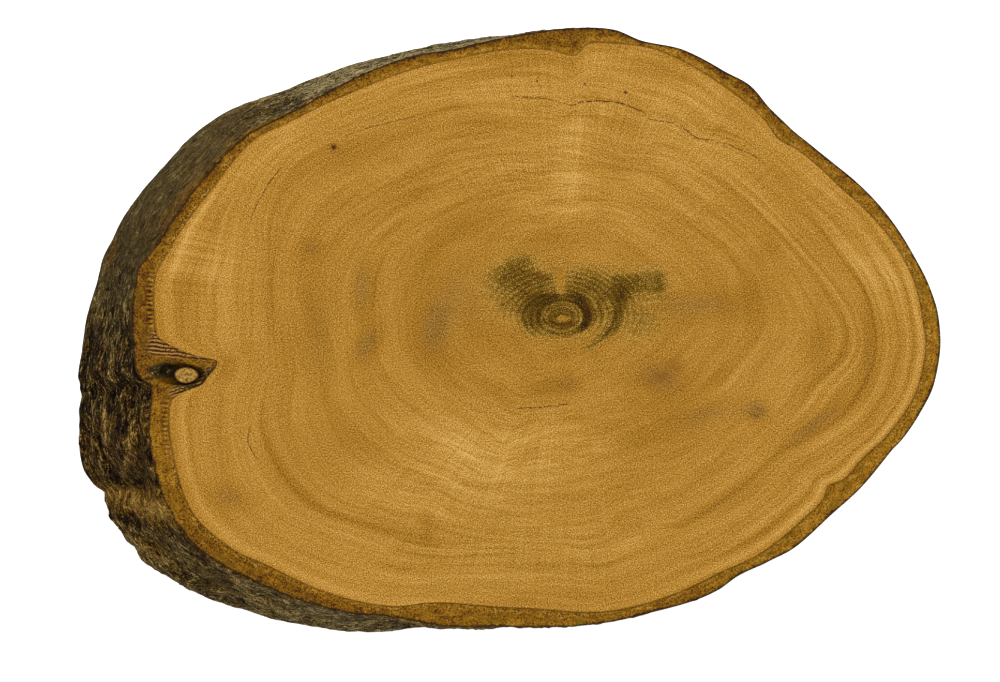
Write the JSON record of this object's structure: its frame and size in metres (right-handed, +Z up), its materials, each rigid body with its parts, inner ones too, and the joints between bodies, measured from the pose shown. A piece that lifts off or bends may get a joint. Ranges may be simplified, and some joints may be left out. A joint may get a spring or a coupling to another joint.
{
  "type": "wood slice",
  "caption": "Oval slice of a small leaning stem with a polished face, bark left on all round and a small branch stub grown into its edge.",
  "frame": {"origin": "middle of the slice's outline, on the surface that its sawn back lies on", "axes": "+Z up out of the polished face, +X along the slice's length away from the edge with the branch stub"},
  "size_m": [0.1152, 0.0806, 0.012],
  "materials": {
    "wood": "polished end grain with fine growth rings, satin",
    "bark": "rough dry bark, matte"
  },
  "bodies": {
    "root": {"wood_slice": "wood"}
  },
  "joints": []
}
